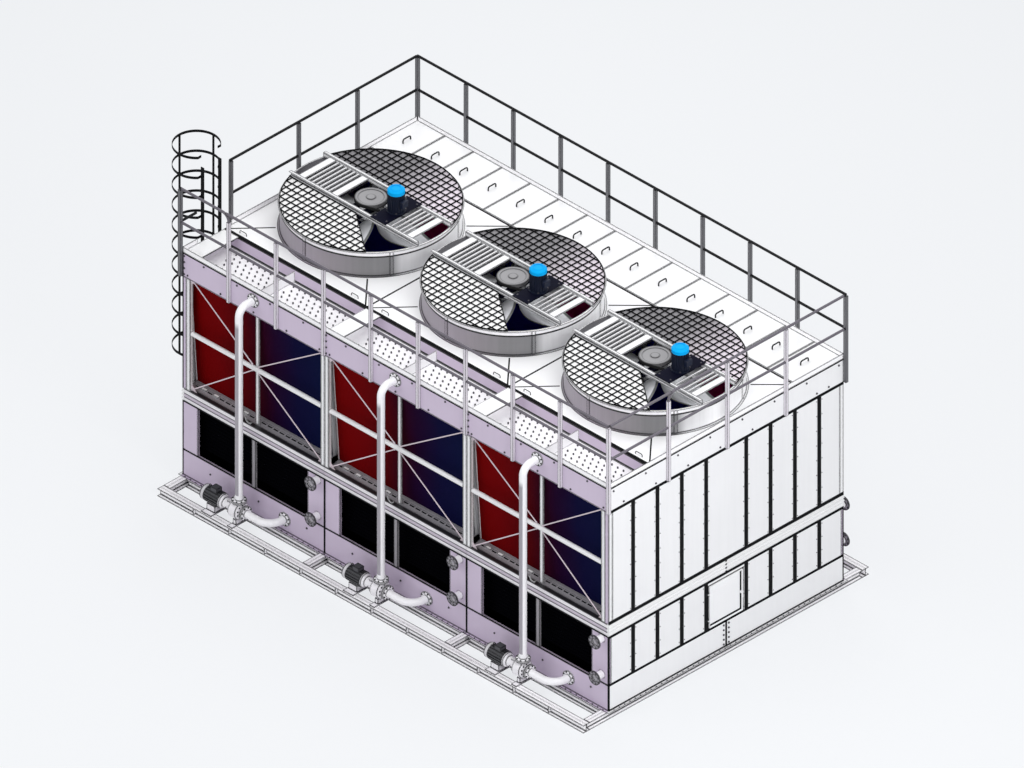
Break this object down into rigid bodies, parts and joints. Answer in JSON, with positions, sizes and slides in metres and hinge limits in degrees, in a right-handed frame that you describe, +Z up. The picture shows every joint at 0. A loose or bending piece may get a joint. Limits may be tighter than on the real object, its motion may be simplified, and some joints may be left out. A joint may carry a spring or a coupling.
{
  "type": "closed circuit cooling tower",
  "caption": "Closed circuit cooling tower with roof fans, coil bays, spray pumps, deck railing and a caged ladder.",
  "frame": {"origin": "middle of the underside of the base frame, on the ground", "axes": "+X along the row of cells, pump side towards -Y, +Z up"},
  "size_m": [9.168, 5.63, 5.225],
  "materials": {
    "frame_dark": "painted",
    "casing": "painted",
    "pale_panel": "painted",
    "galvanised": "satin",
    "coil": "painted",
    "fill": "matte",
    "fan_metal": "satin",
    "dark_rail": "painted",
    "motor_dark": "painted",
    "motor_blue": "painted",
    "belt_rubber": "matte",
    "pump_red": "painted"
  },
  "bodies": {
    "tower": {"base_long_beams": "frame_dark", "base_cross_beams": "frame_dark", "basin_floor": "galvanised", "basin_walls": "casing", "lower_panels": "casing", "coil_mullions": "pale_panel", "mid_bands": "pale_panel", "bay_posts": "pale_panel", "corner_posts": "casing", "bay_girts": "pale_panel", "bay_mid_posts": "pale_panel", "bay_braces": "galvanised", "fascias": "casing", "fill_sills": "galvanised", "fill_packs": "fill", "fill_side_plates": "pale_panel", "coil_bundles": "coil", "coil_end_plates": "galvanised", "coil_headers": "coil", "inner_posts": "galvanised", "inner_beams": "galvanised", "water_troughs": "galvanised", "trough_plates": "pale_panel", "fan_deck": "pale_panel", "back_covers": "pale_panel", "cover_handles": "dark_rail", "fan_stacks": "casing", "drive_beams": "galvanised", "drive_slats": "galvanised", "drive_supports": "galvanised", "bearing_housings": "pump_red", "fan_motors": "motor_dark", "motor_caps": "motor_blue", "drive_belts": "belt_rubber", "fan_guards": "dark_rail", "rail_posts": "dark_rail", "side_rails": "pale_panel", "end_rails": "pale_panel", "toe_boards": "pale_panel", "ladder": "dark_rail", "ladder_brackets": "dark_rail", "cage_hoops": "dark_rail", "cage_straps": "dark_rail", "pump_casings": "pump_red", "pump_motors": "motor_dark", "pump_stands": "dark_rail", "spray_pipes": "casing", "upper_end_panels": "casing", "lower_end_panels": "casing", "door_frame": "casing", "door_hinges": "galvanised"},
    "fan_1": {"fan_rotor_1": "fan_metal", "fan_sheave_1": "galvanised"},
    "fan_2": {"fan_rotor_2": "fan_metal", "fan_sheave_2": "galvanised"},
    "fan_3": {"fan_rotor_3": "fan_metal", "fan_sheave_3": "galvanised"},
    "door": {"access_door": "casing"}
  },
  "joints": [
    {"name": "fan_1_spin", "type": "hinge", "parent": "tower", "child": "fan_1", "pos_m": [-2.8, 0, 4.2], "axis": [0, 0, 1], "continuous": true},
    {"name": "fan_2_spin", "type": "hinge", "parent": "tower", "child": "fan_2", "pos_m": [0, 0, 4.2], "axis": [0, 0, 1], "continuous": true},
    {"name": "fan_3_spin", "type": "hinge", "parent": "tower", "child": "fan_3", "pos_m": [2.8, 0, 4.2], "axis": [0, 0, 1], "continuous": true},
    {"name": "door_hinge", "type": "hinge", "parent": "tower", "child": "door", "pos_m": [4.215, -0.362, 0.95], "axis": [0, 0, -1], "range_deg": [0, 110]}
  ]
}
